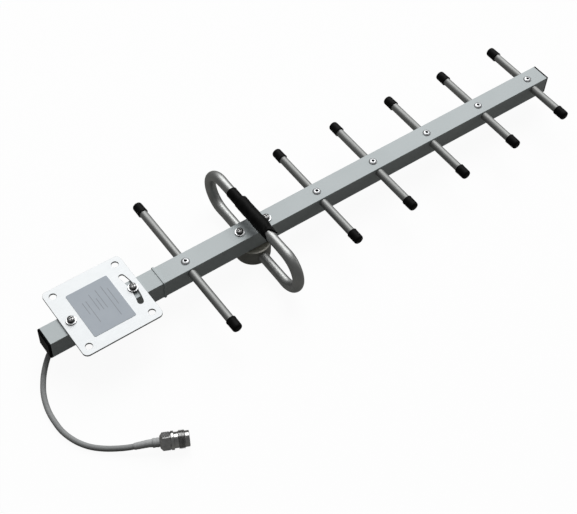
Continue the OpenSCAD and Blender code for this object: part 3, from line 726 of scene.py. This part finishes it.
screwLow, screwHigh = nodeBox("housing_screws")
screwX = [screwLow[0] + screwHead["radius"], screwHigh[0] - screwHead["radius"]]
seat = screwHigh[2] - screwHead["room"]
lockSeat = boomTop + flatRing["thick"]
screws = [panScrew((x, 0, seat), seat - screwLow[2], screwShank["screwThread"], screwHead, screwShank)
          for x in screwX]
pieceFor("housing_screws", joined(*screws), sharp=32, finish="screw")
pieceFor("housing_washers", joined(*[flatWasher((x, 0, boomTop), flatRing) for x in screwX]), finish="washer")
locks = [springWasher((x, 0, lockSeat), splitRing["screwTurn"], splitRing) for x in screwX]
pieceFor("housing_lock_washers", joined(*locks))
for bolt in ("pivot", "clamp"):
    boltX = middle(bolt + "_bolt")[0]
    boltLow, boltHigh = nodeBox(bolt + "_bolt")
    washerLow, washerHigh = nodeBox(bolt + "_washers")
    lockSeat, nutSeat = (nodeBox(bolt + piece)[0][2] for piece in ("_lock_washer", "_nut"))
    seat, thread = boltHigh[2] - screwHead["room"], nutSeat + screwShank["overNut"] - boltLow[2]
    screw = panScrew((boltX, 0, seat), seat - boltLow[2], thread, screwHead, screwShank)
    pair = [flatWasher((boltX, 0, z), flatRing) for z in (washerLow[2], washerHigh[2] - flatRing["thick"])]
    pieceFor(bolt + "_bolt", screw, sharp=32, finish="screw")
    pieceFor(bolt + "_washers", joined(*pair), finish="washer")
    pieceFor(bolt + "_lock_washer", springWasher((boltX, 0, lockSeat), splitRing["boltTurn"], splitRing))
    pieceFor(bolt + "_nut", hexNut((boltX, 0, nutSeat), nut), sharp=25)
print("screws, bolts, washers and nuts made")


# mast plate and its label

def roundedLoop(centre, halfX, halfY, radius, steps):  # four corner arcs in turn, and their outward directions
    quarter = np.linspace(0, tau / 4, steps)
    out = ray((np.arange(4)[:, None] * tau / 4 + quarter).ravel())
    signs = np.repeat(np.array([(1, 1), (-1, 1), (-1, -1), (1, -1)]), steps, 0)
    return np.asarray(centre) + signs * np.array([halfX - radius, halfY - radius]) + radius * out, out


def roundHole(centre, radius, steps):  # circle, with directions to its middle
    out = ray(roundAngles(steps))
    return np.asarray(centre) + radius * out, -out


def curvedSlot(pivot, radius, half, swing, steps, endSteps):
    # outer arc, round end, inner arc and round end of a slot round the pivot, with directions into the slot
    turn = np.linspace(-swing, swing, steps)
    end = np.linspace(0, np.pi, endSteps)[1:-1]
    arcs, ends = ray(turn), ray(np.array([swing, -swing])) * radius
    first, second = ray(swing + end), ray(np.pi - swing + end)
    points = [arcs * (radius + half), ends[:1] + half * first,
              arcs[::-1] * (radius - half), ends[1:] + half * second]
    return np.asarray(pivot) + np.vstack(points), np.vstack([-arcs, -first, arcs[::-1], -second])


def atHeight(level, part):  # a height beside each level pair
    return np.concatenate([level, np.broadcast_to(part[:, None, None], level.shape[:2] + (1,))], -1)


def sheet(outer, holes, low, high, rim, rows=4):
    # each loop is carried over a quarter round of the rim at the top and back at the bottom: inset rim(1 - sin a),
    # height high - rim(1 - cos a), normal sin a outward + cos a up; the flats are triangulated
    a = np.linspace(0, tau / 4, rows)
    inset = np.concatenate([rim * (1 - np.sin(a)), rim * (1 - np.sin(a[::-1]))])
    height = np.concatenate([high - rim * (1 - np.cos(a)), low + rim * (1 - np.cos(a[::-1]))])
    lean = np.concatenate([np.cos(a), -np.cos(a[::-1])])
    points, normals, faces, flat, edges, owner, topOf, bottomOf = [], [], [], [], [], [], [], []
    count = first = 0
    for k, (loop, out) in enumerate([outer] + holes):
        n = len(loop)
        ring = loop[None] - inset[:, None, None] * out[None]
        points.append(atHeight(ring, height).reshape(-1, 3))
        normals.append(atHeight(np.sqrt(1 - lean ** 2)[:, None, None] * out[None], lean).reshape(-1, 3))
        quads = gridQuads(len(height), n) + count
        faces += (quads if k else quads[:, ::-1]).tolist()
        index = np.arange(n)
        flat.append(ring[0])
        edges.append(np.stack([first + index, first + (index + 1) % n], 1))
        owner.append(np.full(n, k))
        topOf.append(count + index)
        bottomOf.append(count + (len(height) - 1) * n + index)
        count += len(height) * n
        first += n
    flat, owner = np.vstack(flat), np.concatenate(owner)
    topOf, bottomOf = np.concatenate(topOf), np.concatenate(bottomOf)
    cells = delaunay_2d_cdt([Vector(p) for p in flat.tolist()], np.vstack(edges).tolist(), [], 0, touch)
    back = np.array([origin[0] for origin in cells[3]])
    tri = back[np.array([list(f) for f in cells[2]])]
    corner = flat[tri]
    turnOf = np.cross(corner[:, 1] - corner[:, 0], corner[:, 2] - corner[:, 0])
    tri = np.where(turnOf[:, None] < 0, tri[:, ::-1], tri)
    own, mid = owner[tri], corner.mean(1)
    same = (own[:, 0] == own[:, 1]) & (own[:, 1] == own[:, 2]) & (own[:, 0] > 0)
    inHole = np.zeros(len(tri), bool)
    for k, (loop, out) in enumerate(holes, 1):  # a triangle in a hole lies inward of the edge point nearest to it
        edge = loop - rim * out
        near = np.argmin(np.linalg.norm(mid[:, None] - edge[None], axis=2), 1)
        inHole |= same & (own[:, 0] == k) & (((mid - edge[near]) * out[near]).sum(1) > -touch)
    tri = tri[~inHole]
    faces += topOf[tri].tolist() + bottomOf[tri][:, ::-1].tolist()
    return (np.vstack(points), faces), np.vstack(normals)


mastPlate = dict(corner=5.0, holeGap=62.0, hole=3.3, rim=0.35, slotRadius=61.5, slotHalf=2.7, swing=15.0,
                 pivotHole=2.08, cornerSteps=12, holeSteps=48, slotSteps=28, slotEndSteps=14)


def mastPlateShape(p):  # square sheet with round corners, four mast holes, the pivot hole and the slot round it
    low, high = nodeBox("mast_plate")
    centre, half = (low + high)[:2] / 2, (high - low)[:2] / 2
    pivot = middle("pivot_bolt")[:2]
    places = [centre + np.array([sx, sy]) * p["holeGap"] / 2 for sx in (-1, 1) for sy in (-1, 1)]
    holes = [roundHole(place, p["hole"], p["holeSteps"]) for place in places]
    holes += [roundHole(pivot, p["pivotHole"], p["holeSteps"]),
              curvedSlot(pivot, p["slotRadius"], p["slotHalf"], np.radians(p["swing"]), p["slotSteps"],
                         p["slotEndSteps"])]
    return sheet(roundedLoop(centre, *half, p["corner"], p["cornerSteps"]), holes, low[2], high[2], p["rim"])


plateShape, plateNormals = mastPlateShape(mastPlate)
pieceFor("mast_plate", plateShape, body="plate", normals=plateNormals)

label = dict(
    corner=1.5, rim=0.12, cornerSteps=8,
    ruleHeight=0.03, ruleWidth=0.55, ruleRound=0.95, ruleSink=0.02, ruleRim=0.02, ruleSteps=5, ruleRows=3,
    rules=[(10.0, 0, 36), (14.0, 3, 20), (4.0, 6, 22), (0.5, 2, 14), (-3.0, 6, 20), (-8.5, -2, 26), (-12, 4, 14)],
)
labelLow, labelHigh = nodeBox("blank_label")
labelMiddle = (labelLow + labelHigh)[:2] / 2


def labelShape(l):  # thin sheet with round corners
    half = (labelHigh - labelLow)[:2] / 2
    outline = roundedLoop(labelMiddle, *half, l["corner"], l["cornerSteps"])
    return sheet(outline, [], labelLow[2], labelHigh[2], l["rim"])


def rulesShape(l):  # thin printed rules with round ends, each given by its place across, its middle and its length
    half, top = l["ruleWidth"] / 2, labelHigh[2]
    shapes, normals = [], []
    for across, along, length in l["rules"]:
        outline = roundedLoop(labelMiddle + np.array([across, along]), half, length / 2, half * l["ruleRound"],
                              l["ruleSteps"])
        shape, normal = sheet(outline, [], top - l["ruleSink"], top + l["ruleHeight"], l["ruleRim"], l["ruleRows"])
        shapes.append(shape)
        normals.append(normal)
    return joined(*shapes), np.vstack(normals)


labelSheet, labelNormals = labelShape(label)
pieceFor("blank_label", labelSheet, body="plate", normals=labelNormals)
ruleSheets, ruleNormals = rulesShape(label)
addPiece("labelRules", ruleSheets, "rule", body="plate", normals=ruleNormals)
print("mast plate and label made")


# folded dipole and its sleeves

dipole = dict(radius=5.0, wall=1.0, straight=50.5, bend=20.5, low=9.0, gap=8.0, widen=0.09, easeLength=9.0,
              sides=48, bendRows=56, straightRows=10)
dipoleX = middle("dipole_loop")[0]
upperZ = dipole["low"] + 2 * dipole["bend"]


def loopPath(d):
    # upper run, near bend, lower run, far bend and upper run again, as y and z with the outward direction;
    # the bends are half circles
    straight, radius, level = d["straight"], d["bend"], d["low"] + d["bend"]
    half = np.linspace(0, np.pi, d["bendRows"])
    run = np.linspace(-d["gap"] / 2, -straight, d["straightRows"])[:-1]
    lower = np.linspace(-straight, straight, 2 * d["straightRows"])[1:-1]
    near, far = tau / 4 + half, -tau / 4 + half
    y = np.concatenate([run, -straight + radius * np.cos(near), lower, straight + radius * np.cos(far), -run[::-1]])
    z = np.concatenate([0 * run + upperZ, level + radius * np.sin(near), 0 * lower + d["low"],
                        level + radius * np.sin(far), 0 * run + upperZ])
    outY = np.concatenate([0 * run, np.cos(near), 0 * lower, np.cos(far), 0 * run])
    outZ = np.concatenate([0 * run + 1, np.sin(near), 0 * lower - 1, np.sin(far), 0 * run + 1])
    return y, z, outY, outZ


def loopShape(d):
    # tube along the path: radius cos a outward + radius (1 + widen * bent) sin a along the boom
    y, z, outY, outZ = loopPath(d)
    bent = ease((np.abs(y) - d["straight"] + d["easeLength"]) / (2 * d["easeLength"]))
    angle = roundAngles(d["sides"])

    def rings(radius):
        out = radius * np.cos(angle)[None, :]
        across = (radius * (1 + d["widen"] * bent))[:, None] * np.sin(angle)
        return np.stack([dipoleX + across, y[:, None] + out * outY[:, None], z[:, None] + out * outZ[:, None]], -1)

    points = np.vstack([rings(d["radius"]), rings(d["radius"] - d["wall"])[::-1]])
    return points.reshape(-1, 3), gridQuads(2 * len(y), d["sides"], wrapRows=True)


pieceFor("dipole_loop", loopShape(dipole), sharp=60)

# waves and folds are rows of height, turns round the run, rate along it and phase
thinSleeve = dict(
    start=8.0, end=35.5, radius=5.5, inner=5.02, rows=70, sides=64,
    lip=0.6, roll=0.35, ridge=0.12, ridgeAt=1.2, ridgeWidth=0.7,
    waves=[(0.06, 3, 0.35, 0), (0.06, 1, 0.9, 0)],
)
thickSleeve = dict(
    end=21.3, near=-23.5, radius=6.6, inner=5.02, least=0.25, rows=130, sides=96,
    lip=0.5, roll=0.45, ridge=0.15, ridgeAt=1.5, ridgeWidth=0.9,
    flap=5.0, notch=115, fray=0.6, frayTurns=7, lean=0.55, leanTurn=35,
    bulge=0.75, bulgeAt=-12, bulgeTurn=20, bulgeLength=5.5,
    crumple=0.225, crumpleFrom=-11, crumpleLength=14, pinch=0.55,
    waves=[(0.07, 3, 0.3, 0), (0.06, 2, 0.8, 0)],
    folds=[(1, 5, 0, 1.3), (0.6, 9, 0.9, 0), (0.4, 3, 1.7, 0)],
)


def ripples(waves, angle, y):  # sum of height * sin(turns * angle + rate * y + phase)
    return sum(height * np.sin(turns * angle + rate * y + phase) for height, turns, rate, phase in waves)


def rolledEnd(s, fromEnd):  # a low ridge * exp(-(d / width)^2) near the end, less a roll eased in over the lip
    ridge = s["ridge"] * np.exp(-((fromEnd - s["ridgeAt"]) / s["ridgeWidth"]) ** 2)
    return ridge - s["roll"] * (1 - ease(fromEnd / s["lip"]))


def aroundRun(y, outer, angle, s):
    # y along the run with radius * (cos a along the boom, sin a up), and the bore back
    layers = [np.stack([dipoleX + r * np.cos(angle), y + 0 * r, upperZ + r * np.sin(angle)], -1)
              for r in (outer, s["inner"] + 0 * outer)]
    points = np.concatenate([layers[0], layers[1][::-1]])
    return points.reshape(-1, 3), gridQuads(2 * s["rows"], s["sides"], wrapRows=True)


def thinSleeveShape(s):  # shrunk tube: radius plus slow waves round it and along it, rolled in at the open end
    angle = roundAngles(s["sides"])[None, :]
    y = np.linspace(s["start"], s["end"], s["rows"])[:, None]
    outer = s["radius"] + ripples(s["waves"], angle, y) + rolledEnd(s, s["end"] - y)
    return aroundRun(y, outer, angle, s)


def thickSleeveShape(s):
    # shrunk tube with a rolled far end, a bulge * exp(-(d / length)^2) on the front side and a crumpled near end,
    # whose edge runs out by flap * sin^2 on both sides of a notch
    angle = roundAngles(s["sides"])[None, :]
    t = np.linspace(0, 1, s["rows"])[:, None]
    edge = s["near"] - s["flap"] * np.sin(angle - np.radians(s["notch"])) ** 2
    edge = edge - s["fray"] * np.sin(s["frayTurns"] * angle)
    y = s["end"] + (edge - s["end"]) * t
    front = np.clip(np.cos(angle - np.radians(s["bulgeTurn"])), 0, 1) ** 2
    outer = s["radius"] + ripples(s["waves"], angle, y) + rolledEnd(s, s["end"] - y)
    outer = outer + s["lean"] * np.cos(angle - np.radians(s["leanTurn"]))
    outer = outer + s["bulge"] * front * np.exp(-((y - s["bulgeAt"]) / s["bulgeLength"]) ** 2)
    toNear = ease((s["crumpleFrom"] - y) / s["crumpleLength"])
    outer = outer + toNear * (s["crumple"] * ripples(s["folds"], angle, y) - s["pinch"])
    return aroundRun(y, np.maximum(outer, s["inner"] + s["least"]), angle, s)


pieceFor("thin_sleeve", thinSleeveShape(thinSleeve), sharp=60)
pieceFor("thick_sleeve", thickSleeveShape(thickSleeve), sharp=60)

# pale tone of a painted highlight along the top of the housing's rim
paintedRimHighlight = dict(tone=(0.72, 0.70, 0.63), band=0.25, start=0.1)
feedFill = dict(wall=1.6, depth=3.0, below=0.7, climb=0.45, band=1.5, clear=0.03, soft=0.3, sides=96)
housingLow, housingHigh = nodeBox("dipole_housing")
# painted highlight: the housing's rim takes the pale tone above a height
paintHighlightAbove(made["housing"], housingHigh[2] - paintedRimHighlight["start"], paintedRimHighlight["band"], paintedRimHighlight["tone"])


def feedFillShape(f):  # disc turned about the housing's middle, climbing a little where it meets the rim
    radius = (housingHigh - housingLow)[0] / 2 - f["wall"] - f["clear"]
    bottom, top = housingHigh[2] - f["depth"] + f["clear"], housingHigh[2] - f["below"]
    profile = [(bottom, 0), (bottom, radius), (top + f["climb"], radius), (top, radius - f["band"]), (top, 0)]
    return turnedProfile(profile, f["soft"], f["sides"], (*(housingLow + housingHigh)[:2] / 2, 0))


addPiece("feedFill", feedFillShape(feedFill), "fill")
print("dipole loop and sleeves made")


# stage and light

stage = dict(reach=6.0, gap=0.0001, bounce=(0.13, 0.125, 0.11), pale=(0.95, 0.95, 0.95), seenWhite=0.945,
             mirroredWhite=0.18, worldLevel=0.10, worldMirrored=0.13)
lamps = [
    dict(name="keySoftbox", place=(5.30, 5.60, 9.20), aim=(-0.05, 0, 0.02), size=9.6, power=1250),
    dict(name="topSoftbox", place=(-0.12, 1.0, 2.2), aim=(-0.20, 0, 0.02), size=1.6, power=9.5),
    dict(name="sideSoftbox", place=(2.6, -0.5, 0.5), aim=(-0.03, 0, 0.02), size=1.2, power=5),
]


def lightShare(tree, seen, mirrored):  # seen * camera ray + mirrored * glossy ray + seen * transmission ray
    path = tree.nodes.new("ShaderNodeLightPath")
    total = 0
    for kind, share in (("Is Camera Ray", seen), ("Is Glossy Ray", mirrored), ("Is Transmission Ray", seen)):
        total = reckon(tree, "MULTIPLY_ADD", path.outputs[kind], share, total)
    return path, total


def makeFloor(stage):  # one square: matt under the light, plain pale to the camera, dimmer in reflections
    r, z = stage["reach"], -stage["gap"]
    mesh = bpy.data.meshes.new("studioFloor")
    mesh.from_pydata([(-r, -r, z), (r, -r, z), (r, r, z), (-r, r, z)], [], [(0, 1, 2, 3)])
    floor = bpy.data.objects.new("studioFloor", mesh)
    scene.collection.objects.link(floor)
    finish = bpy.data.materials.new("paleFloor")
    finish.use_nodes = True
    tree = finish.node_tree
    tree.nodes.remove(tree.nodes["Principled BSDF"])
    path, white = lightShare(tree, stage["seenWhite"], stage["mirroredWhite"])
    tone = mixTones(tree, path.outputs["Is Camera Ray"], (*stage["bounce"], 1), (*stage["pale"], 1))
    matt = addNode(tree, "ShaderNodeBsdfDiffuse", {"Color": tone}).outputs["BSDF"]
    glow = tree.nodes.new("ShaderNodeEmission").outputs["Emission"]
    blend = addNode(tree, "ShaderNodeMixShader", {"Fac": white, 1: matt, 2: glow})
    setInputs(tree, tree.nodes["Material Output"], {"Surface": blend.outputs["Shader"]})
    mesh.materials.append(finish)


def makeWorld(stage):  # even white, at full strength to the camera and low for the light that it gives
    world = bpy.data.worlds.new("studioWorld")
    world.use_nodes = True
    tree = world.node_tree
    path, white = lightShare(tree, 1, stage["worldMirrored"])
    level = spreadOver(tree, white, (0, 1), (stage["worldLevel"], 1))
    setInputs(tree, tree.nodes["Background"], {"Color": (1, 1, 1, 1), "Strength": level})
    scene.world = world


def addLamp(lamp):  # square area lamp turned to its aim
    data = bpy.data.lights.new(lamp["name"], "AREA")
    data.size = lamp["size"]
    data.energy = lamp["power"]
    light = bpy.data.objects.new(lamp["name"], data)
    light.location = lamp["place"]
    light.rotation_euler = (Vector(lamp["aim"]) - Vector(lamp["place"])).to_track_quat("-Z", "Y").to_euler()
    scene.collection.objects.link(light)


makeFloor(stage)
makeWorld(stage)
for lamp in lamps:
    addLamp(lamp)
print("stage and lamps set")
